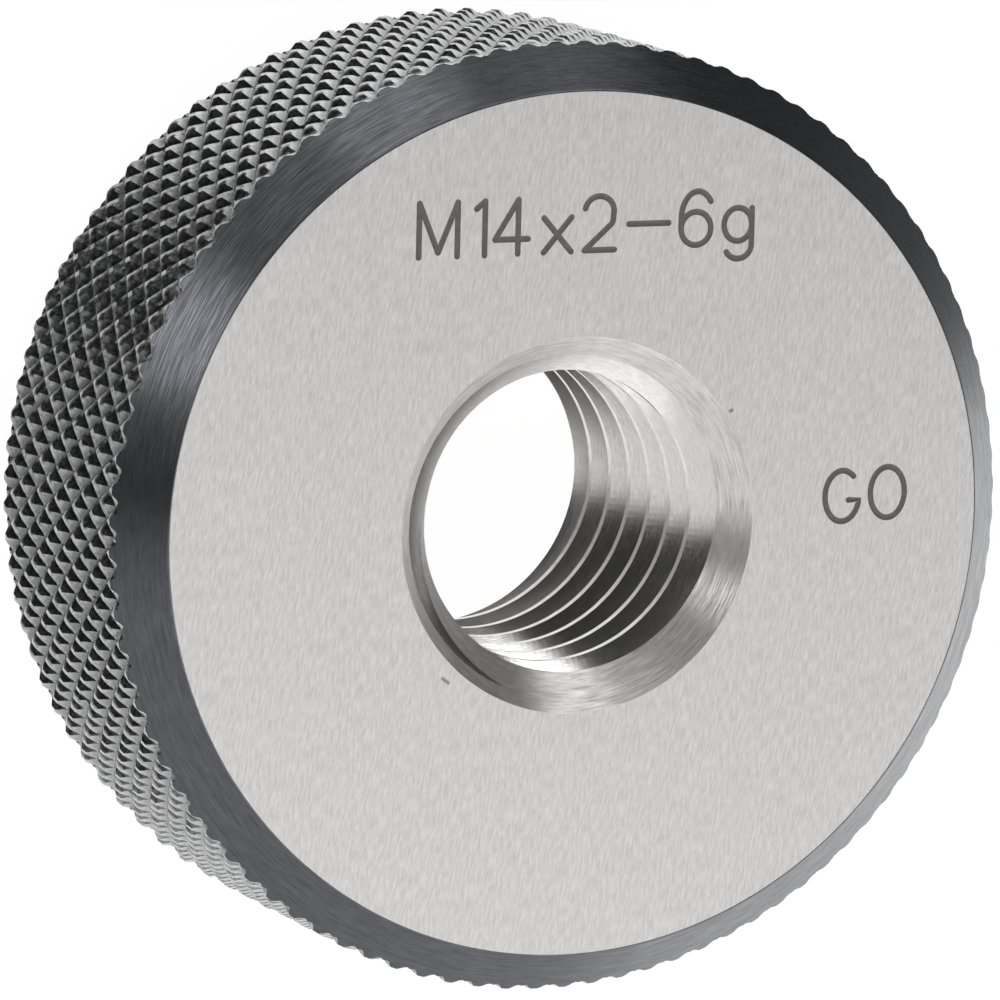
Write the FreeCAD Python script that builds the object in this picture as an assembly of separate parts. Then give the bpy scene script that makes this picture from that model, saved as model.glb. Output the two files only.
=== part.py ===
import FreeCAD, Part

import math
import os

# Metric thread of the bore, M14 x 2. The wall of the bore stands at the crests.
THREAD_MAJOR = 14.0
THREAD_PITCH = 2.0
THREAD_ANGLE = 60.0

# Turned ring
RING_DIAMETER = 38.0
RING_HEIGHT = 16.0
BEVEL_RADIAL = 1.75
BEVEL_AXIAL = 2.0
MOUTH_DIAMETER = 15.0
MOUTH_ANGLE = 90.0

# Diamond knurl: depth of its grooves, number of points around the rim and along the full height,
# and number of points that stand past each end of the ring before the bevels are turned
KNURL_DEPTH = 0.33
KNURL_COUNT_AROUND = 96
KNURL_COUNT_ALONG = 8
KNURL_COUNT_PAST_END = 1

# How far a cutting form stands past the surface that it shapes
OVERRUN = 1.0

RING_RADIUS = RING_DIAMETER / 2
FACE_RADIUS = RING_RADIUS - BEVEL_RADIAL
MOUTH_RADIUS = MOUTH_DIAMETER / 2

# Five eighths of the thread's sharp triangle lie between the major and the minor diameter
SHARP_HEIGHT = THREAD_PITCH / 2 / math.tan(math.radians(THREAD_ANGLE / 2))
BORE_RADIUS = THREAD_MAJOR / 2 - SHARP_HEIGHT * 5 / 8
MOUTH_DEPTH = (MOUTH_RADIUS - BORE_RADIUS) / math.tan(math.radians(MOUTH_ANGLE / 2))


def turned_ring():
    """Ring with a countersunk bore. Its bevels run on past the rim, where the knurl gives the outside."""
    outer_radius = RING_RADIUS + OVERRUN
    bevel_height = BEVEL_AXIAL * (outer_radius - FACE_RADIUS) / BEVEL_RADIAL
    lower_half = [
        (BORE_RADIUS, MOUTH_DEPTH),
        (MOUTH_RADIUS, 0),
        (FACE_RADIUS, 0),
        (outer_radius, bevel_height),
    ]
    upper_half = [(radius, RING_HEIGHT - z) for radius, z in reversed(lower_half)]
    section = [FreeCAD.Vector(radius, 0, z) for radius, z in lower_half + upper_half]
    face = Part.Face(Part.makePolygon(section + section[:1]))
    return face.revolve(FreeCAD.Vector(0, 0, 0), FreeCAD.Vector(0, 0, 1), 360)


def knurled_drum():
    """Drum whose side is a lattice of four-sided points. Two families of crossing grooves part them.

    Peaks and groove crossings take turns on the lattice, and every cell is folded along its groove.
    """
    columns = 2 * KNURL_COUNT_AROUND
    rows = 2 * (KNURL_COUNT_ALONG + KNURL_COUNT_PAST_END)
    row_height = RING_HEIGHT / (2 * KNURL_COUNT_ALONG)
    overhang = (rows * row_height - RING_HEIGHT) / 2

    points = []
    for row in range(rows + 1):
        for column in range(columns):
            is_peak = (row + column) % 2 == 0
            radius = RING_RADIUS if is_peak else RING_RADIUS - KNURL_DEPTH
            angle = 2 * math.pi * column / columns
            z = row * row_height - overhang
            points.append(FreeCAD.Vector(radius * math.cos(angle), radius * math.sin(angle), z))
    lower_hub = len(points)
    upper_hub = lower_hub + 1
    points.append(FreeCAD.Vector(0, 0, -overhang))
    points.append(FreeCAD.Vector(0, 0, RING_HEIGHT + overhang))

    facets = []
    for column in range(columns):
        following = (column + 1) % columns
        for row in range(rows):
            near_low = row * columns + column
            far_low = row * columns + following
            near_high = near_low + columns
            far_high = far_low + columns
            if (row + column) % 2 == 0:
                facets.append((near_low, far_low, near_high))
                facets.append((far_low, far_high, near_high))
            else:
                facets.append((near_low, far_low, far_high))
                facets.append((near_low, far_high, near_high))
        facets.append((lower_hub, following, column))
        facets.append((upper_hub, rows * columns + column, rows * columns + following))

    skin = Part.Shape()
    skin.makeShapeFromMesh((points, facets), OVERRUN / 100)
    return Part.Solid(Part.Shell(skin.Faces))


def gauge_ring():
    """The knurled and bevelled ring as one solid, flat on its back face with the bore upright."""
    return turned_ring().common(knurled_drum()).Solids[0]


os.makedirs("parts", exist_ok=True)
gauge_ring().exportStep("parts/gauge_ring.step")
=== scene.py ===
import logging
import math
from abc import ABC, abstractmethod
from collections.abc import Sequence
from dataclasses import dataclass
from enum import Enum, IntEnum
from functools import partialmethod
from typing import ClassVar

import bmesh
import bpy
import numpy as np
from mathutils import Matrix, Vector


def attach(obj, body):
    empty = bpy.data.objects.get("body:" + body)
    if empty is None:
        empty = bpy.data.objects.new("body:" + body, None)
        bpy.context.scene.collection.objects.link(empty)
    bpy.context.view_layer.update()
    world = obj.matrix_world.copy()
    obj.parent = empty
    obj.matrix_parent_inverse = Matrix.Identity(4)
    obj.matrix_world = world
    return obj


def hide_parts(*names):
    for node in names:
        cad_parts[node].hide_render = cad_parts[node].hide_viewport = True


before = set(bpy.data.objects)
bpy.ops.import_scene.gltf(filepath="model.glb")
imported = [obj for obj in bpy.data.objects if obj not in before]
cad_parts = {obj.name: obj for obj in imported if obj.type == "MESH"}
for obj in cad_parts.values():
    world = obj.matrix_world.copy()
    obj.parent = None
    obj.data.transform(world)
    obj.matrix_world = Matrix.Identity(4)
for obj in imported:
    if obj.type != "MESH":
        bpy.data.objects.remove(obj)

LOG = logging.getLogger("ring_gauge")
CAD_NODE = "gauge_ring"
MM = 0.001
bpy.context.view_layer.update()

Material = bpy.types.Material
Node = bpy.types.Node
Object = bpy.types.Object
Socket = bpy.types.NodeSocket
Sockets = bpy.types.bpy_prop_collection
Point = tuple[float, float]
Span = tuple[float, float]
Colour = tuple[float, float, float, float]
Value = float | Socket
WHITE: Colour = (1.0, 1.0, 1.0, 1.0)

# Spans of a noise over which what it drives changes
NARROW: Span = (0.3, 0.7)
WIDE: Span = (0.25, 0.75)


@dataclass(frozen=True)
class RingSize:
    """Turned ring, lying on its back face with the bore upright. Lengths in metres."""

    radius: float = 19.0 * MM
    height: float = 16.0 * MM
    face_radius: float = 17.25 * MM
    bevel_height: float = 2.0 * MM
    mouth_radius: float = 7.5 * MM
    bore_radius: float = 5.9175 * MM
    edge_break: float = 0.05 * MM
    mouth_break: float = 0.012 * MM
    overrun: float = 1.0 * MM
    segments: int = 768

    @property
    def mouth_depth(self) -> float:
        """Depth of the countersink, whose wall slopes at 45 degrees."""
        return self.mouth_radius - self.bore_radius

    @property
    def bevel_slope(self) -> float:
        """Height that the bevel loses per length outwards."""
        return self.bevel_height / (self.radius - self.face_radius)


@dataclass(frozen=True)
class KnurlSize:
    """Lattice of four-sided points round the rim. Shares are of the sharp depth."""

    around: int = 96
    along: int = 8
    sharp_depth: float = 0.42 * MM
    detail: int = 4
    tip_cut: float = 0.26
    tip_round: float = 0.05
    root_round: float = 0.1
    unevenness: float = 0.08
    roughening: float = 0.03 * MM
    end_share: float = 0.65
    end_swing: float = 0.25
    end_turn: float = math.radians(-150.0)
    end_reach: float = 1.3 * MM
    seed: int = 7

    @property
    def depth(self) -> float:
        """Depth from the cut tips to the grooves."""
        return self.sharp_depth * (1.0 - self.tip_cut)


@dataclass(frozen=True)
class ThreadSize:
    """Groove of a metric thread with a pitch of 2 mm, cut outwards from the bore."""

    pitch: float = 2.0 * MM
    root_radius: float = 7.0 * MM
    base_radius: float = 5.72 * MM
    root_flat: float = 0.43 * MM
    flank_angle: float = math.radians(30.0)
    root_fillet: float = 0.1 * MM
    phase: float = 0.33 * MM
    overrun: float = 2.0 * MM
    resolution: int = 144


@dataclass(frozen=True)
class MarkSize:
    """Engraved single-stroke letters. Glyphs are drawn in units of the capital height."""

    capital: float = 2.13 * MM
    stroke_width: float = 0.26 * MM
    depth: float = 0.06 * MM
    ball_segments: int = 12


class Finish(IntEnum):
    """Material slots of the ring, in order."""

    GROUND = 0
    BEVEL = 1
    KNURL = 2
    MOUTH = 3
    THREAD = 4
    MARK = 5


class Shaping(Enum):
    """What a tool does to the body: leaves only what both share, or takes its own room away."""

    SHARED = "INTERSECT"
    CUT = "DIFFERENCE"


class Tree(Enum):
    """Kinds of node tree, each with the kind of its output sockets."""

    GEOMETRY = ("GeometryNodeTree", "NodeSocketGeometry")
    SHADER = ("ShaderNodeTree", "NodeSocketFloat")


@dataclass(frozen=True)
class Graph:
    """A node tree under construction, with short ways to add sockets, nodes and sums."""

    KINDS: ClassVar[dict[type, str]] = {float: "Float", int: "Int", Material: "Material"}

    tree: bpy.types.NodeTree

    @classmethod
    def group(
        cls, name: str, kind: Tree, inputs: dict[str, float | str | Material], outputs: Sequence[str],
    ) -> tuple["Graph", Sockets, Node]:
        """Makes a new node group.

        Args:
            name: name of the group.
            kind: geometry or shader.
            inputs: socket name to its default, or to its kind.
            outputs: socket names.

        Returns:
            The graph, the inputs as nodes read them, and the output node.
        """
        tree_kind, output_kind = kind.value
        graph = cls(bpy.data.node_groups.new(name, tree_kind))
        add = graph.tree.interface.new_socket
        for label, value in inputs.items():
            socket_kind = value if isinstance(value, str) else cls.KINDS[type(value)]
            socket = add(name=label, in_out="INPUT", socket_type=f"NodeSocket{socket_kind}")
            if not isinstance(value, str):
                socket.default_value = value
        for label in outputs:
            add(name=label, in_out="OUTPUT", socket_type=output_kind)
        return graph, graph.node("NodeGroupInput").outputs, graph.node("NodeGroupOutput")

    def wire(self, node: Node, values: dict[int | str, Value | Colour]) -> Node:
        """Feeds the inputs of a node.

        Args:
            node: the node.
            values: input's name or number to a socket or a plain value.

        Returns:
            The same node.
        """
        for key, value in values.items():
            if isinstance(value, Socket):
                self.tree.links.new(value, node.inputs[key])
            else:
                node.inputs[key].default_value = value
        return node

    def node(self, kind: str, settings: dict | None = None, **inputs: Value | Colour) -> Node:
        """Adds a node.

        Args:
            kind: the node's bl_idname.
            settings: properties of the node itself.
            **inputs: input name, with underscores for spaces, to a value or a socket.

        Returns:
            The new node.
        """
        node = self.tree.nodes.new(kind)
        for key, value in (settings or {}).items():
            setattr(node, key, value)
        return self.wire(node, {key.replace("_", " "): value for key, value in inputs.items()})

    def calc(self, operation: str, *values: Value, clamp: bool = False) -> Socket:
        """Adds a Math node and returns its result, kept from 0 to 1 where clamp is set."""
        node = self.node("ShaderNodeMath", {"operation": operation, "use_clamp": clamp})
        return self.wire(node, dict(enumerate(values))).outputs["Value"]

    # The four sums of two values
    plus = partialmethod(calc, "ADD")
    minus = partialmethod(calc, "SUBTRACT")
    times = partialmethod(calc, "MULTIPLY")
    over = partialmethod(calc, "DIVIDE")

    def vector(self, operation: str, *values: Value | tuple) -> Sockets:
        """Adds a Vector Math node and returns its outputs."""
        node = self.node("ShaderNodeVectorMath", {"operation": operation})
        return self.wire(node, dict(enumerate(values))).outputs

    def combine(self, x: Value, y: Value, z: Value) -> Socket:
        """Joins three values into a vector and returns it."""
        return self.node("ShaderNodeCombineXYZ", X=x, Y=y, Z=z).outputs["Vector"]

    def split(self, vector: Socket) -> tuple[Socket, ...]:
        """Splits a vector and returns its three parts."""
        return tuple(self.node("ShaderNodeSeparateXYZ", Vector=vector).outputs)

    def ramp(
        self, value: Value, low: Value, high: Value, to_low: Value = 0.0, to_high: Value = 1.0,
    ) -> Socket:
        """Maps a value smoothly and clamped from one range to another.

        Args:
            value: the value to map.
            low: value that gives to_low.
            high: value that gives to_high.
            to_low: result at and beyond low.
            to_high: result at and beyond high.

        Returns:
            The mapped value.
        """
        return self.node(
            "ShaderNodeMapRange", {"interpolation_type": "SMOOTHSTEP"}, Value=value, From_Min=low,
            From_Max=high, To_Min=to_low, To_Max=to_high,
        ).outputs["Result"]

    def noise(self, vector: Socket, scale: float, detail: float, **more: float) -> Socket:
        """Adds a Noise Texture and returns its value."""
        return self.node("ShaderNodeTexNoise", Vector=vector, Scale=scale, Detail=detail, **more).outputs[0]

    def mix(self, factor: Value, a: Socket | Colour, b: Socket | Colour) -> Socket:
        """Mixes two colours by a factor and returns the colour."""
        node = self.node("ShaderNodeMix", {"data_type": "RGBA", "clamp_factor": True})
        return self.wire(node, {0: factor, 6: a, 7: b}).outputs[2]

    def blend(self, factor: Value, a: Value, b: Value) -> Socket:
        """Mixes two numbers by a factor and returns the number."""
        node = self.node("ShaderNodeMix", {"data_type": "FLOAT"})
        return self.wire(node, {0: factor, 2: a, 3: b}).outputs[0]

    def effect(self, tree: bpy.types.NodeTree, **inputs: Value | tuple) -> Sockets:
        """Places a shared group with its inputs and returns its outputs."""
        return self.node("ShaderNodeGroup", {"node_tree": tree}, **inputs).outputs

    def position(self) -> Socket:
        """Returns the piece's own coordinates."""
        return self.node("ShaderNodeTexCoord").outputs["Object"]

    def relief(self, height: Socket, distance: float) -> Socket:
        """Returns the normal of a surface raised by the height, where 1 stands for the distance."""
        return self.node("ShaderNodeBump", Height=height, Distance=distance, Strength=1.0).outputs[0]


def place(name: str, data: bpy.types.ID) -> Object:
    """Puts data in the scene.

    Args:
        name: name of the object.
        data: its mesh, light or camera.

    Returns:
        The object that holds the data.
    """
    thing = bpy.data.objects.new(name, data)
    bpy.context.scene.collection.objects.link(thing)
    return thing


def make_plain(thing: Object) -> None:
    """Keeps what an object's modifiers give as its plain mesh, and removes them.

    Args:
        thing: the object.
    """
    mesh = bpy.data.meshes.new_from_object(thing.evaluated_get(bpy.context.evaluated_depsgraph_get()))
    thing.modifiers.clear()
    thing.data = mesh
    LOG.info("%s: %d faces", thing.name, len(mesh.polygons))


class NodeTool(ABC):
    """A closed body made by a geometry node group, used to shape the ring."""

    NAME: ClassVar[str]

    @abstractmethod
    def inputs(self) -> dict[str, float]:
        """Returns the group's inputs by name."""

    @abstractmethod
    def shape(self, g: Graph, pick: Sockets) -> Socket:
        """Adds the nodes that make the body.

        Args:
            g: graph of the group.
            pick: the group's inputs.

        Returns:
            The body's geometry.
        """

    def source(self) -> bpy.types.Mesh:
        """Returns the mesh that the group starts from, which is empty where it makes its own."""
        return bpy.data.meshes.new(self.NAME)

    def build(self, material: Material) -> Object:
        """Makes the body, through a group that ends in Realize Instances and Set Material.

        Args:
            material: finish that the body leaves where it shapes the ring.

        Returns:
            The body, as a plain mesh.
        """
        inputs = self.inputs() | {"Material": material}
        g, pick, end = Graph.group(self.NAME, Tree.GEOMETRY, {"Geometry": "Geometry"} | inputs, ["Geometry"])
        real = g.node("GeometryNodeRealizeInstances", Geometry=self.shape(g, pick))
        done = g.node("GeometryNodeSetMaterial", Geometry=real.outputs[0], Material=pick["Material"])
        g.wire(end, {"Geometry": done.outputs[0]})
        body = place(self.NAME, self.source())
        modifier = body.modifiers.new(self.NAME, "NODES")
        modifier.node_group = g.tree
        for item in g.tree.interface.items_tree:
            if item.in_out == "INPUT" and item.name in inputs:
                modifier[item.identifier] = inputs[item.name]
        make_plain(body)
        return body


@dataclass(frozen=True)
class KnurledDrum(NodeTool):
    """Closed drum with the knurl round it, standing past both ends of the ring.

    PITTING is the rate of the noise in its skin, and PITS the span of it that shows.
    """

    NAME: ClassVar[str] = "Knurled drum"
    PITTING: ClassVar[float] = 1300.0
    PITS: ClassVar[Span] = (0.2, 0.8)

    ring: RingSize
    knurl: KnurlSize

    def inputs(self) -> dict[str, float]:
        """Names the group's inputs.

        Returns:
            Input name to value.
        """
        ring, knurl = self.ring, self.knurl
        return {
            "Radius": ring.radius, "Height": ring.height, "Depth": knurl.sharp_depth, "Around": knurl.around,
            "Along": knurl.along, "Detail": knurl.detail, "Tip Cut": knurl.tip_cut,
            "Tip Round": knurl.tip_round, "Root Round": knurl.root_round, "Unevenness": knurl.unevenness,
            "Roughening": knurl.roughening, "End Depth": knurl.end_share, "End Swing": knurl.end_swing,
            "End Turn": knurl.end_turn, "End Start": ring.bevel_height, "End Reach": knurl.end_reach,
            "Seed": knurl.seed,
        }

    def shape(self, g: Graph, pick: Sockets) -> Socket:
        """Presses the skin of a cylinder in between the points.

        Args:
            g: graph of the group.
            pick: the group's inputs.

        Returns:
            The drum's geometry.
        """
        columns = g.times(pick["Around"], 2.0)
        row = g.over(pick["Height"], g.times(pick["Along"], 2.0))
        rows = g.plus(g.times(pick["Along"], 2.0), 2.0)
        cylinder = g.node(
            "GeometryNodeMeshCylinder", {"fill_type": "NGON"}, Radius=pick["Radius"],
            Vertices=g.times(columns, pick["Detail"]), Side_Segments=g.times(rows, pick["Detail"]),
            Depth=g.times(rows, row),
        )
        x, y, z = g.split(g.node("GeometryNodeInputPosition").outputs["Position"])
        angle = g.calc("ARCTAN2", y, x)
        a = g.times(angle, g.over(columns, math.tau))
        b = g.plus(g.over(z, row), g.over(rows, 2.0))
        u = g.times(g.plus(a, b), 0.5)
        v = g.times(g.minus(a, b), 0.5)
        whole_u = g.calc("ROUND", u)
        whole_v = g.calc("ROUND", v)
        off_u = g.calc("ABSOLUTE", g.minus(u, whole_u))
        off_v = g.calc("ABSOLUTE", g.minus(v, whole_v))
        point = g.minus(1.0, g.times(g.calc("MAXIMUM", off_u, off_v), 2.0))
        column_id = g.calc("FLOORED_MODULO", g.plus(g.plus(whole_u, whole_v), 0.5), columns)
        place_id = g.combine(column_id, g.minus(whole_u, whole_v), pick["Seed"])
        chance = g.node("ShaderNodeTexWhiteNoise", Vector=place_id).outputs["Value"]
        top = g.minus(1.0, pick["Tip Cut"])
        cap = g.minus(top, g.times(chance, pick["Unevenness"]))
        blunt = g.calc("SMOOTH_MIN", point, cap, pick["Tip Round"])
        soft = g.calc("SMOOTH_MAX", blunt, pick["Root Round"], pick["Root Round"])
        from_end = g.minus(g.over(pick["Height"], 2.0), z)
        inner = g.plus(pick["End Start"], pick["End Reach"])
        swing = g.times(g.calc("COSINE", g.minus(angle, pick["End Turn"])), pick["End Swing"])
        share = g.ramp(from_end, pick["End Start"], inner, g.plus(pick["End Depth"], swing), 1.0)
        pressed = g.times(g.minus(soft, top), g.times(pick["Depth"], share))
        noise = g.node("ShaderNodeTexNoise", Scale=self.PITTING, Detail=3.0, Roughness=0.6).outputs[0]
        drop = g.minus(pressed, g.times(g.ramp(noise, *self.PITS), pick["Roughening"]))
        offset = g.combine(
            g.times(g.calc("COSINE", angle), drop), g.times(g.calc("SINE", angle), drop),
            g.over(pick["Height"], 2.0),
        )
        shaped = g.node("GeometryNodeSetPosition", Geometry=cylinder.outputs["Mesh"], Offset=offset)
        return g.node(
            "GeometryNodeTriangulate", {"quad_method": "SHORTEST_DIAGONAL"}, Mesh=shaped.outputs[0],
            Selection=cylinder.outputs["Side"],
        ).outputs[0]


@dataclass(frozen=True)
class ThreadGroove(NodeTool):
    """Helical body of the thread's groove, from inside the bore out to the root."""

    NAME: ClassVar[str] = "Thread groove"

    ring: RingSize
    thread: ThreadSize

    def inputs(self) -> dict[str, float]:
        """Names the group's inputs.

        Returns:
            Input name to value.
        """
        thread = self.thread
        reach = thread.root_radius - thread.base_radius
        return {
            "Pitch": thread.pitch, "Turns": (self.ring.height + 2 * thread.overrun) / thread.pitch,
            "Root Radius": thread.root_radius, "Base Radius": thread.base_radius,
            "Base Width": thread.root_flat + 2 * reach * math.tan(thread.flank_angle),
            "Root Flat": thread.root_flat, "Root Fillet": thread.root_fillet,
            "Start": thread.phase - thread.overrun, "Resolution": thread.resolution,
        }

    def shape(self, g: Graph, pick: Sockets) -> Socket:
        """Sweeps the groove's section along a right-hand helix.

        Args:
            g: graph of the group.
            pick: the group's inputs.

        Returns:
            The groove's geometry.
        """
        spiral = g.node(
            "GeometryNodeCurveSpiral", Resolution=pick["Resolution"], Rotations=pick["Turns"],
            Start_Radius=pick["Root Radius"], End_Radius=pick["Root Radius"],
            Height=g.times(pick["Pitch"], pick["Turns"]), Reverse=True,
        )
        upright = g.node("GeometryNodeSetCurveNormal", {"mode": "Z_UP"}, Curve=spiral.outputs[0])
        root = g.times(pick["Root Flat"], 0.5)
        base = g.times(pick["Base Width"], 0.5)
        inner = g.minus(pick["Base Radius"], pick["Root Radius"])
        corners = ((0.0, root), (inner, base), (inner, g.times(base, -1.0)), (0.0, g.times(root, -1.0)))
        section = g.wire(
            g.node("GeometryNodeCurvePrimitiveQuadrilateral", {"mode": "POINTS"}),
            {f"Point {i}": g.combine(across, up, 0.0) for i, (across, up) in enumerate(corners, 1)},
        )
        rounded = g.node(
            "GeometryNodeFilletCurve", {"mode": "POLY"}, Curve=section.outputs[0], Radius=pick["Root Fillet"],
            Count=2, Limit_Radius=True,
        )
        swept = g.node(
            "GeometryNodeCurveToMesh", Curve=upright.outputs[0], Profile_Curve=rounded.outputs[0],
            Fill_Caps=True,
        )
        lift = g.combine(0.0, 0.0, pick["Start"])
        return g.node("GeometryNodeSetPosition", Geometry=swept.outputs[0], Offset=lift).outputs[0]


def arc(x: float, y: float, rx: float, ry: float, start: float, stop: float, steps: int = 16) -> list[Point]:
    """Points along an arc of an ellipse.

    Args:
        x: centre, across.
        y: centre, up.
        rx: half width.
        ry: half height.
        start: first angle in degrees, anticlockwise from the right.
        stop: last angle in degrees.
        steps: number of pieces.

    Returns:
        The points, first to last.
    """
    angles = np.radians(np.linspace(start, stop, steps + 1))
    return [(x + rx * math.cos(t), y + ry * math.sin(t)) for t in angles]


class Lettering:
    """Plain single-stroke glyphs, as an engraving machine cuts them. A capital is 1 high."""

    GLYPHS: dict[str, list[list[Point]]] = {
        "M": [
            [(0.0, 0.0), (0.0, 1.0)], [(0.0, 1.0), (0.38, 0.08)], [(0.38, 0.08), (0.76, 1.0)],
            [(0.76, 1.0), (0.76, 0.0)],
        ],
        "1": [[(0.0, 0.86), (0.17, 1.0)], [(0.17, 1.0), (0.17, 0.0)]],
        "4": [[(0.46, 1.0), (0.0, 0.27)], [(0.0, 0.27), (0.66, 0.27)], [(0.46, 1.0), (0.46, 0.0)]],
        "x": [[(0.0, 0.0), (0.55, 0.64)], [(0.0, 0.64), (0.55, 0.0)]],
        "2": [
            arc(0.29, 0.72, 0.29, 0.28, 168, -12) + arc(0.20, 0.60, 0.37, 0.30, 0, -22, 4) + [(0.0, 0.0)],
            [(0.0, 0.0), (0.6, 0.0)],
        ],
        "-": [[(0.0, 0.44), (0.8, 0.44)]],
        "6": [arc(0.33, 0.5, 0.33, 0.5, 38, 180, 16) + arc(0.30, 0.31, 0.30, 0.31, 180, 540, 28)],
        "g": [
            arc(0.28, 0.36, 0.28, 0.31, 0, 360, 28), [(0.56, 0.66), (0.56, -0.02)],
            arc(0.29, -0.02, 0.27, 0.26, 0, -150, 14),
        ],
        "G": [arc(0.35, 0.48, 0.35, 0.48, 50, 342, 26) + [(0.70, 0.40), (0.48, 0.40)]],
        "O": [arc(0.36, 0.48, 0.35, 0.48, 0, 360, 36)],
    }

    @classmethod
    def strokes(cls, glyph: str, x: float, y: float, scale: float) -> list[list[Point]]:
        """Places a glyph's left end and base line at x, y and returns its strokes in metres."""
        return [[(x + px * scale, y + py * scale) for px, py in stroke] for stroke in cls.GLYPHS[glyph]]


@dataclass(frozen=True)
class Engraving(NodeTool):
    """Round-bottomed cuts of the marks in the ground face: the thread's size and its use.

    PLACES holds each glyph with the left end of its base line, in millimetres. TOUCHING is the
    distance under which a stroke's ends meet, and BALL the balls' size beside the bars'.
    """

    NAME: ClassVar[str] = "Mark bars"
    PLACES: ClassVar[tuple[tuple[str, float, float], ...]] = (
        ("M", -7.03, 10.86), ("1", -4.62, 10.87), ("4", -3.83, 10.89), ("x", -1.76, 10.90),
        ("2", -0.02, 10.93), ("-", 1.86, 10.98), ("6", 4.10, 11.00), ("g", 5.95, 11.00),
        ("G", 10.64, -0.30), ("O", 12.60, -0.22),
    )
    TOUCHING: ClassVar[float] = 1e-6
    BALL: ClassVar[float] = 0.999

    ring: RingSize
    mark: MarkSize

    @property
    def bar_radius(self) -> float:
        """Radius of the round bar that leaves a cut of the right width and depth."""
        half = self.mark.stroke_width / 2
        return (half**2 + self.mark.depth**2) / (2 * self.mark.depth)

    def inputs(self) -> dict[str, float]:
        """Returns the group's inputs by name."""
        return {"Bar Radius": self.bar_radius, "Segments": self.mark.ball_segments}

    def source(self) -> bpy.types.Mesh:
        """Lays the strokes' centre lines at the height of the bars' middles.

        Returns:
            A mesh of edges.
        """
        z = self.ring.height + self.bar_radius - self.mark.depth
        points: list[tuple[float, float, float]] = []
        edges: list[tuple[int, int]] = []
        for glyph, x, y in self.PLACES:
            for stroke in Lettering.strokes(glyph, x * MM, y * MM, self.mark.capital):
                first = len(points)
                closed = math.dist(stroke[0], stroke[-1]) < self.TOUCHING
                stroke = stroke[:-1] if closed else stroke
                points += [(px, py, z) for px, py in stroke]
                edges += [(first + i, first + i + 1) for i in range(len(stroke) - 1)]
                if closed:
                    edges.append((first + len(stroke) - 1, first))
        mesh = bpy.data.meshes.new("mark_paths")
        mesh.from_pydata(points, edges, [])
        return mesh

    def shape(self, g: Graph, pick: Sockets) -> Socket:
        """Runs round bars along the strokes, with a ball at each end.

        Args:
            g: graph of the group.
            pick: the group's inputs.

        Returns:
            The bars' geometry, as one closed body.
        """
        lines = g.node("GeometryNodeMeshToCurve", Mesh=pick["Geometry"]).outputs[0]
        section = g.node(
            "GeometryNodeCurvePrimitiveCircle", {"mode": "RADIUS"}, Resolution=pick["Segments"],
            Radius=pick["Bar Radius"],
        )
        bars = g.node(
            "GeometryNodeCurveToMesh", Curve=lines, Profile_Curve=section.outputs[0], Fill_Caps=True,
        )
        ball = g.node(
            "GeometryNodeMeshUVSphere", Segments=pick["Segments"], Rings=g.over(pick["Segments"], 2.0),
            Radius=g.times(pick["Bar Radius"], self.BALL),
        )
        balls = g.node(
            "GeometryNodeInstanceOnPoints", Points=lines, Instance=ball.outputs[0],
            Selection=g.node("GeometryNodeCurveEndpointSelection").outputs[0],
        )
        union = {"operation": "UNION", "solver": "EXACT"}
        whole = g.node("GeometryNodeMeshBoolean", union, Self_Intersection=True, Mesh_2=bars.outputs[0])
        return g.wire(whole, {"Mesh 2": balls.outputs[0]}).outputs[0]


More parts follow.
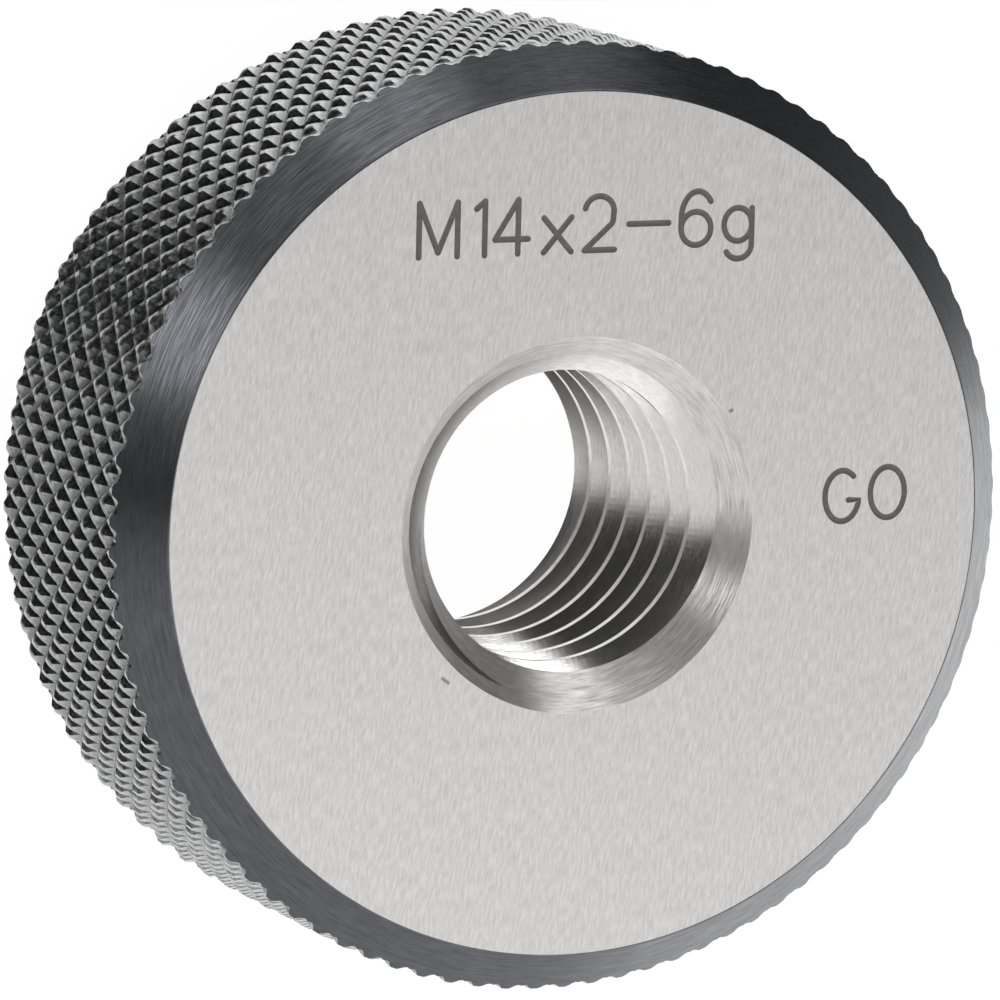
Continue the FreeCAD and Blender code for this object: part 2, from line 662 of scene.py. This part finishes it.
@dataclass(frozen=True)
class TurnedBlank:
    """Ring with its bore, mouths and bevels, the bevels running on past the rim.

    SIDES holds the finish of each side of the lower section. ROUNDING is the share of a broken edge
    at its middle corner, and STRIP the reach of the narrow strip beside it, in lengths of the break.
    """

    SIDES: ClassVar[tuple[Finish, ...]] = (Finish.MOUTH,) * 3 + (Finish.GROUND,) + (Finish.BEVEL,) * 4
    ROUNDING: ClassVar[float] = 0.3
    STRIP: ClassVar[float] = 1.5

    ring: RingSize

    def lower_profile(self) -> list[Point]:
        """Lays the half section with its broken edges.

        Returns:
            Its corners as (radius, height), from the bore out past the rim. A narrow strip beside each
            broken edge keeps its shading off the wide surfaces.
        """
        ring = self.ring
        edge = ring.edge_break
        half = ring.mouth_break * math.sqrt(0.5)
        slope = math.atan(ring.bevel_slope)
        along = Vector((math.cos(slope), math.sin(slope)))
        corner = Vector((ring.face_radius, 0.0))
        cut = edge * self.ROUNDING
        outer = ring.radius + ring.overrun
        return [
            (ring.bore_radius, ring.mouth_depth),
            (ring.mouth_radius - half * self.STRIP, half * self.STRIP),
            (ring.mouth_radius - half, half),
            (ring.mouth_radius + half, 0.0),
            (ring.face_radius - edge, 0.0),
            tuple(corner + cut * Vector((-1.0, 0.0)) / 2 + cut * along / 2),
            tuple(corner + edge * along),
            tuple(corner + self.STRIP * edge * along),
            (outer, (outer - ring.face_radius) * ring.bevel_slope),
        ]

    def build(self, materials: Sequence[Material]) -> Object:
        """Turns the section round the axis.

        Args:
            materials: one material for each finish, in order.

        Returns:
            The closed blank.
        """
        ring = self.ring
        lower = self.lower_profile()
        section = np.array(lower + [(radius, ring.height - z) for radius, z in reversed(lower)])
        sides = (*self.SIDES, Finish.KNURL, *reversed(self.SIDES), Finish.THREAD)
        count = len(section)
        angles = np.arange(ring.segments) * (2 * math.pi / ring.segments)
        radius = section[None, :, 0]
        points = np.stack([
            np.cos(angles)[:, None] * radius, np.sin(angles)[:, None] * radius,
            np.broadcast_to(section[None, :, 1], (ring.segments, count)),
        ], axis=-1).reshape(-1, 3)
        faces = [
            (i * count + j, k * count + j, k * count + (j + 1) % count, i * count + (j + 1) % count)
            for i in range(ring.segments) for k in [(i + 1) % ring.segments] for j in range(count)
        ]
        mesh = bpy.data.meshes.new("turned_blank")
        mesh.from_pydata(points.tolist(), [], faces)
        for material in materials:
            mesh.materials.append(material)
        mesh.polygons.foreach_set("material_index", np.tile(np.array(sides, dtype=np.int32), ring.segments))
        return place("turned_blank", mesh)


def plain_material(name: str) -> tuple[Material, Graph, Node]:
    """Makes a material with one Principled BSDF.

    Args:
        name: name of the material.

    Returns:
        The material, the graph around its nodes and the shader node.
    """
    material = bpy.data.materials.new(name)
    material.use_nodes = True
    return material, Graph(material.node_tree), material.node_tree.nodes["Principled BSDF"]


class Effects:
    """Shader groups shared by the finishes. Each reads a position in metres and gives masks.

    RISE is what a height counts beside a radius in the turning marks. LEAN is how far the grain leans
    off Y, LAYER its rate of change with height and CLOUD the cloudiness's rates across and along it.
    FLECK and SPREAD are the rates of the fine and the wide worn patches. A span is the part of a noise, or of
    the depth below the tips, over which a mask changes; the one towards the groove roots fades in painted
    shade. CORE is the full part of a scratch.
    """

    RISE = 0.31
    LEAN = 0.16
    LAYER = 3000.0
    CLOUD = (1500.0, 330.0)
    FLECK = 5000.0
    SPREAD = 90.0
    TIP_SPAN = (0.05, 0.3)
    GROOVE_SHADE_SPAN = (0.35, 0.85)
    # Span of the depth below the tips over which painted shade darkens the groove roots
    WEAR_SPAN = (0.35, 0.6)
    BURR_SPAN = (0.4, 0.6)
    CORE = 0.3

    def __init__(self) -> None:
        """Builds the groups."""
        self.turning = self.turning_marks()
        self.grain = self.grinding_grain()
        self.wear_and_shade = self.wear_and_groove_shade()
        self.scratch = self.scratch_mask()

    @classmethod
    def turning_marks(cls) -> bpy.types.NodeTree:
        """Rings left by a turning tool, as noise stretched all the way round the axis.

        Returns:
            The group.
        """
        inputs = {"Position": "Vector", "Rate": 8000.0, "Around": 12.0}
        g, pick, end = Graph.group("Turning marks", Tree.SHADER, inputs, ["Fine", "Broad"])
        x, y, z = g.split(pick["Position"])
        radius = g.vector("LENGTH", g.combine(x, y, 0.0))["Value"]
        depth = g.times(g.plus(radius, g.times(z, cls.RISE)), pick["Rate"])
        for name, rate, around in (("Fine", 1.0, 1.0), ("Broad", 0.25, 2.0)):
            turns = g.times(pick["Around"], around)
            turn_x, turn_y = (g.times(g.over(side, radius), turns) for side in (x, y))
            marks = g.noise(g.combine(g.times(depth, rate), turn_x, turn_y), 1.0, 3.0, Roughness=0.6)
            g.wire(end, {name: g.ramp(marks, *WIDE)})
        return g.tree

    @classmethod
    def grinding_grain(cls) -> bpy.types.NodeTree:
        """Fine streaks along Y, as a surface grinder leaves them, and a soft cloudiness.

        Returns:
            The group.
        """
        inputs = {"Position": "Vector", "Across": 10500.0, "Along": 1700.0}
        g, pick, end = Graph.group("Grinding grain", Tree.SHADER, inputs, ["Streak", "Fine", "Cloud"])
        x, y, z = g.split(pick["Position"])
        level = g.times(z, cls.LAYER)
        x = g.minus(x, g.times(y, cls.LEAN))
        for name, rate, detail in (("Streak", 1.0, 3.0), ("Fine", 2.3, 2.0)):
            across = g.times(x, g.times(pick["Across"], rate))
            along = g.times(y, g.times(pick["Along"], rate))
            g.wire(end, {name: g.noise(g.combine(across, along, level), 1.0, detail)})
        across, along = (g.times(side, rate) for side, rate in zip((x, y), cls.CLOUD))
        g.wire(end, {"Cloud": g.noise(g.combine(across, along, level), 1.0, 3.0)})
        return g.tree

    @classmethod
    def wear_and_groove_shade(cls) -> bpy.types.NodeTree:
        """Bare tips of the knurl, bright nicks where its points run into the bevels, and painted shade
        towards the roots of its grooves.

        Returns:
            The group.
        """
        inputs = {
            "Position": "Vector", "Tip Radius": 0.019, "Depth": 0.00025, "Face Radius": 0.01725,
            "Height": 0.016, "Bevel Slope": 1.143, "Reach": 0.0002,
        }
        g, pick, end = Graph.group("Wear and painted groove shade", Tree.SHADER, inputs, ["Tip", "Root", "Rim", "Patch"])
        x, y, z = g.split(pick["Position"])
        radius = g.vector("LENGTH", g.combine(x, y, 0.0))["Value"]
        patch = g.noise(pick["Position"], cls.FLECK, 3.0)
        wide = g.noise(pick["Position"], cls.SPREAD, 1.0)
        below = g.over(g.minus(pick["Tip Radius"], radius), pick["Depth"])
        tip = g.ramp(below, *cls.TIP_SPAN, 1.0, 0.0)
        half = g.times(pick["Height"], 0.5)
        from_end = g.minus(half, g.calc("ABSOLUTE", g.minus(z, half)))
        cone = g.times(g.minus(radius, pick["Face Radius"]), pick["Bevel Slope"])
        gap = g.calc("ABSOLUTE", g.minus(from_end, cone))
        rim = g.ramp(gap, 0.0, pick["Reach"], 1.0, 0.0)
        burr = g.times(g.ramp(wide, *cls.WEAR_SPAN), g.ramp(patch, *cls.BURR_SPAN))
        g.wire(end, {
            "Tip": g.times(tip, g.ramp(patch, *cls.WEAR_SPAN), clamp=True),
            # Root: painted shade, a mask that grows with depth below the tips towards the groove roots
            "Root": g.ramp(below, *cls.GROOVE_SHADE_SPAN), "Rim": g.times(rim, burr, clamp=True),
            "Patch": patch,
        })
        return g.tree

    @classmethod
    def scratch_mask(cls) -> bpy.types.NodeTree:
        """Mask of one straight scratch between two points.

        Returns:
            The group.
        """
        inputs = {"Position": "Vector", "From": "Vector", "To": "Vector", "Width": 0.00005}
        g, pick, end = Graph.group("Scratch", Tree.SHADER, inputs, ["Mask"])
        arm = g.vector("SUBTRACT", pick["Position"], pick["From"])["Vector"]
        line = g.vector("SUBTRACT", pick["To"], pick["From"])["Vector"]
        reached, whole = (g.vector("DOT_PRODUCT", side, line)["Value"] for side in (arm, line))
        share = g.over(reached, whole, clamp=True)
        reach = g.wire(g.node("ShaderNodeVectorMath", {"operation": "SCALE"}), {0: line, "Scale": share})
        away = g.vector("DISTANCE", arm, reach.outputs[0])["Value"]
        g.wire(end, {"Mask": g.ramp(away, g.times(pick["Width"], cls.CORE), pick["Width"], 1.0, 0.0)})
        return g.tree


def scaled(colour: Colour, factor: float) -> Colour:
    """Multiplies a colour and returns it."""
    return (*(part * factor for part in colour[:3]), 1.0)


def spread(middle: float, reach: float) -> Span:
    """Returns the ends of a range about its middle."""
    return middle - reach, middle + reach


def tones(colour: Colour, contrast: float) -> tuple[Colour, Colour]:
    """Returns a darker and a lighter form of a colour."""
    return scaled(colour, 1.0 - contrast), scaled(colour, 1.0 + contrast)


@dataclass(frozen=True)
class GroundFinish:
    """Surface-ground steel with faint streaks and a few nicks, each from x, y to x, y in millimetres."""

    name: str = "ground_steel"
    base: Colour = (0.775, 0.765, 0.75, 1.0)
    roughness: float = 0.38
    roughness_reach: float = 0.03
    contrast: float = 0.14
    relief: float = 0.0012 * MM
    weights: tuple[float, float, float] = (0.6, 0.25, 0.15)
    nicks: tuple[tuple[float, float, float, float], ...] = (
        (-5.65, -5.85, -5.4, -6.03), (6.42, 4.32, 6.5, 4.36),
    )
    nick_width: float = 0.1 * MM
    nick_share: float = 0.85
    nick_tone: float = 0.35

    def material(self, ring: RingSize, effects: Effects) -> Material:
        """Builds the material.

        Args:
            ring: sizes of the ring.
            effects: the shared shader groups.

        Returns:
            The material.
        """
        material, g, shader = plain_material(self.name)
        position = g.position()
        grain = g.effect(effects.grain, Position=position)
        streak, fine, cloud = (g.times(part, weight) for part, weight in zip(grain, self.weights))
        tone = g.plus(g.plus(streak, fine), cloud)
        colour = g.mix(g.ramp(tone, *NARROW), *tones(self.base, self.contrast))
        for x0, y0, x1, y1 in self.nicks:
            nick = g.effect(
                effects.scratch, Position=position, From=(x0 * MM, y0 * MM, ring.height),
                To=(x1 * MM, y1 * MM, ring.height), Width=self.nick_width,
            )["Mask"]
            colour = g.mix(g.times(nick, self.nick_share), colour, scaled(self.base, self.nick_tone))
        rough = g.ramp(grain["Cloud"], *NARROW, *spread(self.roughness, self.roughness_reach))
        g.wire(shader, {
            "Base Color": colour, "Metallic": 1.0, "Roughness": rough, "Normal": g.relief(tone, self.relief),
        })
        return material


@dataclass(frozen=True)
class TurnedFinish:
    """Turned steel, bare or blackened, with the rings that the tool left."""

    QUARTER_TURN: ClassVar[float] = 0.25

    name: str
    base: Colour
    roughness: float
    anisotropy: float
    rate: float
    contrast: float
    relief: float
    sheen: float = 0.0
    around: float = 12.0
    weights: tuple[float, float] = (0.65, 0.35)
    roughness_share: float = 0.2
    edge_tint: Colour = WHITE

    def material(self, effects: Effects) -> Material:
        """Builds the material.

        Args:
            effects: the shared shader groups.

        Returns:
            The material.
        """
        material, g, shader = plain_material(self.name)
        rings = g.effect(effects.turning, Position=g.position(), Rate=self.rate, Around=self.around)
        fine, broad = (g.times(part, weight) for part, weight in zip(rings, self.weights))
        tone = g.plus(fine, broad)
        bright, dull = (self.roughness * factor for factor in spread(1.0, self.roughness_share))
        tangent = g.node("ShaderNodeTangent", {"direction_type": "RADIAL", "axis": "Z"})
        g.wire(shader, {
            "Base Color": g.mix(tone, *tones(self.base, self.contrast)), "Metallic": 1.0,
            "Specular Tint": self.edge_tint, "Coat Weight": self.sheen, "Coat Roughness": self.roughness,
            "Anisotropic": self.anisotropy, "Anisotropic Rotation": self.QUARTER_TURN,
            "Roughness": g.ramp(rings["Fine"], 0.0, 1.0, dull, bright),
            "Tangent": tangent.outputs[0], "Normal": g.relief(tone, self.relief),
        })
        return material


@dataclass(frozen=True)
class KnurlFinish:
    """Blackened points with bare tips, bright nicks beside the bevels, and painted shade towards the groove
    roots.
    """

    name: str = "blackened_knurl"
    base: Colour = (0.31, 0.312, 0.318, 1.0)
    bare: Colour = (0.72, 0.715, 0.70, 1.0)
    roughness: float = 0.28
    roughness_reach: float = 0.06
    fleck_tones: tuple[float, float] = (0.55, 1.35)
    tip_share: float = 0.25
    # Painted shade in the grooves: how strongly it darkens, and its tone against the base
    groove_shade_share: float = 0.72
    groove_shade_tone: float = 0.2
    rim_share: float = 0.9
    rim_reach: float = 0.22 * MM
    rim_roughness: float = 0.2
    relief: float = 0.005 * MM

    def material(self, ring: RingSize, knurl: KnurlSize, effects: Effects) -> Material:
        """Builds the material.

        Args:
            ring: sizes of the ring.
            knurl: sizes of the knurl.
            effects: the shared shader groups.

        Returns:
            The material.
        """
        material, g, shader = plain_material(self.name)
        wear_and_shade = g.effect(
            effects.wear_and_shade, Position=g.position(), Tip_Radius=ring.radius, Depth=knurl.depth,
            Face_Radius=ring.face_radius, Height=ring.height, Bevel_Slope=ring.bevel_slope,
            Reach=self.rim_reach,
        )
        bare = g.calc("MAXIMUM", g.times(wear_and_shade["Tip"], self.tip_share), g.times(wear_and_shade["Rim"], self.rim_share))
        flecked = g.mix(g.ramp(wear_and_shade["Patch"], *WIDE), *(scaled(self.base, tone) for tone in self.fleck_tones))
        # Painted shade: the flecked black darkens towards the groove roots
        black_with_painted_shade = g.mix(g.times(wear_and_shade["Root"], self.groove_shade_share), flecked, scaled(self.base, self.groove_shade_tone))
        rough = g.ramp(wear_and_shade["Patch"], *NARROW, *spread(self.roughness, self.roughness_reach))
        g.wire(shader, {
            "Base Color": g.mix(bare, black_with_painted_shade, self.bare), "Metallic": 1.0,
            "Roughness": g.plus(rough, g.times(wear_and_shade["Rim"], self.rim_roughness)),
            "Normal": g.relief(wear_and_shade["Patch"], self.relief),
        })
        return material


@dataclass(frozen=True)
class MarkFinish:
    """Darkened floor of the engraved strokes."""

    name: str = "engraved_mark"
    base: Colour = (0.185, 0.175, 0.165, 1.0)
    contrast: float = 0.3
    fleck_rate: float = 6000.0
    metal_share: float = 0.3
    roughness: float = 0.7

    def material(self) -> Material:
        """Builds the material.

        Returns:
            The material.
        """
        material, g, shader = plain_material(self.name)
        colour = g.mix(g.noise(g.position(), self.fleck_rate, 2.0), *tones(self.base, self.contrast))
        g.wire(shader, {"Base Color": colour, "Metallic": self.metal_share, "Roughness": self.roughness})
        return material


@dataclass(frozen=True)
class RingGauge:
    """The gauge as one closed piece: turned, knurled, threaded and engraved.

    SHARP is the angle from which a corner is creased, and SLIVER the length under which an edge is
    taken away.
    """

    SHARP: ClassVar[float] = math.radians(32.0)
    SLIVER: ClassVar[float] = 1e-7

    ring: RingSize
    knurl: KnurlSize
    thread: ThreadSize
    mark: MarkSize

    def finishes(self) -> list[Material]:
        """Builds the materials.

        Returns:
            One material for each Finish, in its order.
        """
        effects = Effects()
        bevel = TurnedFinish(
            "blackened_bevel", (0.13, 0.134, 0.146, 1.0), roughness=0.28, anisotropy=0.75, rate=36000.0,
            contrast=0.36, relief=0.0015 * MM, sheen=0.3,
        )
        mouth = TurnedFinish(
            "turned_mouth", (0.81, 0.80, 0.78, 1.0), roughness=0.44, anisotropy=0.9, rate=24000.0,
            contrast=0.3, relief=0.0012 * MM, around=5.0,
        )
        thread = TurnedFinish(
            "bright_thread", (0.62, 0.61, 0.59, 1.0), roughness=0.22, anisotropy=0.4, rate=30000.0,
            contrast=0.12, relief=0.0006 * MM, edge_tint=(0.85, 0.85, 0.85, 1.0),
        )
        return [
            GroundFinish().material(self.ring, effects), bevel.material(effects),
            KnurlFinish().material(self.ring, self.knurl, effects), mouth.material(effects),
            thread.material(effects), MarkFinish().material(),
        ]

    @staticmethod
    def shape_by(body: Object, tool: Object, shaping: Shaping) -> None:
        """Shapes the body with a tool and removes the tool.

        Args:
            body: the closed body to shape.
            tool: the closed tool.
            shaping: what the tool does.
        """
        modifier = body.modifiers.new("shape", "BOOLEAN")
        modifier.object = tool
        modifier.operation = shaping.value
        modifier.solver = "MANIFOLD"
        modifier.material_mode = "TRANSFER"
        make_plain(body)
        bpy.data.objects.remove(tool, do_unlink=True)

    def shade(self, mesh: bpy.types.Mesh) -> None:
        """Shades the mesh smooth, with creases at sharp corners and where finishes meet.

        Args:
            mesh: the mesh to shade.
        """
        shaped = bmesh.new()
        shaped.from_mesh(mesh)
        bmesh.ops.dissolve_degenerate(shaped, dist=self.SLIVER, edges=shaped.edges)
        for face in shaped.faces:
            face.smooth = True
        for edge in shaped.edges:
            one, other = edge.link_faces
            same = one.material_index == other.material_index
            edge.smooth = same and edge.calc_face_angle(0.0) < self.SHARP
        shaped.to_mesh(mesh)
        shaped.free()

    def build(self) -> Object:
        """Shapes and dresses the gauge.

        Returns:
            The finished piece.
        """
        materials = self.finishes()
        body = TurnedBlank(self.ring).build(materials)
        drum = KnurledDrum(self.ring, self.knurl).build(materials[Finish.KNURL])
        self.shape_by(body, drum, Shaping.SHARED)
        groove = ThreadGroove(self.ring, self.thread).build(materials[Finish.THREAD])
        self.shape_by(body, groove, Shaping.CUT)
        bars = Engraving(self.ring, self.mark).build(materials[Finish.MARK])
        self.shape_by(body, bars, Shaping.CUT)
        self.shade(body.data)
        body.name = body.data.name = "ring_gauge"
        return body


@dataclass(frozen=True)
class Panel:
    """A soft round patch of the studio's light, as a direction, two angles in degrees and a level."""

    towards: tuple[float, float, float]
    inner: float
    outer: float
    level: float


@dataclass(frozen=True)
class StudioSize:
    """Floor, light and view. The view's angles follow from the photograph's perspective."""

    floor_half: float = 2.0
    floor_gap: float = 0.02 * MM
    floor_colour: Colour = (0.85, 0.85, 0.85, 1.0)
    floor_roughness: float = 0.9
    floor_glow: float = 0.9
    glow_strength: float = 1.08
    view_distance: float = 393.7 * MM
    view_tilt: float = math.radians(24.41)
    view_turn: float = math.radians(22.22)
    view_roll: float = math.radians(21.66)
    view_aim: tuple[float, float] = (-3.0866 * MM, 1.0118 * MM)
    lens: float = 360.0
    sensor: float = 36.0
    lamp_place: tuple[float, float, float] = (0.05, -0.30, 0.24)
    lamp_width: float = 0.30
    lamp_power: float = 0.14
    ambient: float = 0.04
    panels: tuple[Panel, ...] = (
        Panel((0.0, -1.0, 0.05), 77, 88, 1.0),
        Panel((-0.08, -0.2, 0.98), 9, 19, 1.6),
        Panel((-0.30, -0.94, -0.02), 20, 31, 0.66),
        Panel((-0.82, -0.55, 0.15), 10, 24, 0.60),
        Panel((-0.97, -0.15, 0.12), 5, 14, 0.20),
        Panel((-0.92, 0.05, -0.45), 16, 34, 0.04),
        Panel((0.60, -0.10, -0.79), 50, 70, 1.30),
        Panel((0.12, -0.92, -0.36), 14, 26, 0.68),
        Panel((0.42, 0.65, -0.64), 13, 26, 1.9),
        Panel((0.84, -0.24, -0.50), 9, 20, 1.55),
        Panel((0.82, 0.54, -0.18), 22, 31, 0.09),
        Panel((0.89, 0.22, -0.39), 10, 19, 0.16),
        Panel((0.50, 0.86, -0.06), 10, 17, 0.04),
        Panel((0.34, 0.82, 0.46), 11, 18, 2.75),
        Panel((-0.16, 0.97, -0.06), 8, 15, 1.3),
        Panel((-0.15, 0.95, 0.20), 8, 18, 1.3),
        Panel((-0.55, 0.78, 0.30), 10, 20, 0.75),
        Panel((-0.62, 0.60, 0.50), 8, 16, 0.12),
        Panel((-0.88, 0.14, 0.45), 9, 17, 0.06),
        Panel((-0.96, 0.20, 0.18), 6, 13, 0.42),
        Panel((-0.84, 0.46, 0.285), 7, 15, 2.6),
    )


@dataclass(frozen=True)
class Studio:
    """Pale floor, soft light all round with a darker side, and the camera."""

    size: StudioSize
    ring: RingSize

    def floor(self) -> Object:
        """Makes the floor, which shows nearly white and keeps the shadow.

        Mirror rays pass through it to the studio's panels.

        Returns:
            The floor, still to be staged.
        """
        size, half = self.size, self.size.floor_half
        mesh = bpy.data.meshes.new("floor")
        corners = [(-half, -half), (half, -half), (half, half), (-half, half)]
        mesh.from_pydata([(x, y, -size.floor_gap) for x, y in corners], [], [(0, 1, 2, 3)])
        material, g, shader = plain_material("floor")
        g.wire(shader, {
            "Base Color": size.floor_colour, "Roughness": size.floor_roughness, "Specular IOR Level": 0.0,
        })
        path = g.node("ShaderNodeLightPath").outputs
        glow = g.node("ShaderNodeEmission", Color=WHITE, Strength=size.glow_strength)
        seen = g.calc("MAXIMUM", path["Is Camera Ray"], path["Is Transmission Ray"])
        mixed = g.node("ShaderNodeMixShader", Fac=g.times(seen, size.floor_glow))
        g.wire(mixed, {1: shader.outputs[0], 2: glow.outputs[0]})
        through = g.node("ShaderNodeMixShader", Fac=path["Is Glossy Ray"])
        g.wire(through, {1: mixed.outputs[0], 2: g.node("ShaderNodeBsdfTransparent").outputs[0]})
        g.wire(material.node_tree.nodes["Material Output"], {"Surface": through.outputs[0]})
        mesh.materials.append(material)
        return place("floor", mesh)

    def world(self) -> None:
        """Lights the scene from all round with the panels, one painted over the other."""
        world = bpy.data.worlds.new("studio")
        bpy.context.scene.world = world
        world.use_nodes = True
        g = Graph(world.node_tree)
        direction = g.node("ShaderNodeTexCoord").outputs["Generated"]
        light: Value = self.size.ambient
        for panel in self.size.panels:
            towards = tuple(Vector(panel.towards).normalized())
            facing = g.vector("DOT_PRODUCT", direction, towards)["Value"]
            edge, middle = (math.cos(math.radians(angle)) for angle in (panel.outer, panel.inner))
            light = g.blend(g.ramp(facing, edge, middle), light, panel.level)
        seen = g.node("ShaderNodeLightPath").outputs["Is Camera Ray"]
        background = world.node_tree.nodes["Background"]
        g.wire(background, {"Color": WHITE, "Strength": g.blend(seen, light, 1.0)})

    def lamp(self) -> None:
        """Adds the square soft lamp, facing the ring."""
        light = bpy.data.lights.new("key", "AREA")
        light.size = self.size.lamp_width
        light.energy = self.size.lamp_power
        lamp = place("key", light)
        lamp.location = self.size.lamp_place
        aim = Vector(self.size.lamp_place) - Vector((0.0, 0.0, self.ring.height))
        lamp.rotation_euler = aim.to_track_quat("Z", "Y").to_euler()

    def camera(self) -> None:
        """Sets the camera at the photograph's angle."""
        size = self.size
        tilt, turn, roll = size.view_tilt, size.view_turn, size.view_roll
        side = Vector((math.cos(tilt) * math.cos(turn), -math.cos(tilt) * math.sin(turn), math.sin(tilt)))
        rise = Vector((math.sin(turn), math.cos(turn), 0.0))
        right = side * math.cos(roll) + rise * math.sin(roll)
        up = rise * math.cos(roll) - side * math.sin(roll)
        back = right.cross(up)
        across, along = size.view_aim
        middle = Vector((0.0, 0.0, self.ring.height))
        spot = middle + back * size.view_distance + right * across + up * along
        data = bpy.data.cameras.new("camera")
        data.lens = size.lens
        data.sensor_width = size.sensor
        camera = place("camera", data)
        camera.matrix_world = Matrix.Translation(spot) @ Matrix((right, up, back)).transposed().to_4x4()
        bpy.context.scene.camera = camera

    def build(self) -> None:
        """Builds the whole studio."""
        self.floor()
        self.world()
        self.lamp()
        self.camera()
        bpy.context.scene.view_settings.view_transform = "Standard"


def main() -> None:
    """Builds the gauge and its studio, piece by piece."""
    logging.basicConfig(level=logging.INFO, format="%(name)s: %(message)s")
    ring = RingSize()
    gauge = RingGauge(ring, KnurlSize(), ThreadSize(), MarkSize()).build()
    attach(gauge, "root")
    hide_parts(CAD_NODE)
    LOG.info("gauge: %d faces", len(gauge.data.polygons))
    Studio(StudioSize(), ring).build()
    LOG.info("studio built")


if __name__ == "__main__":
    main()
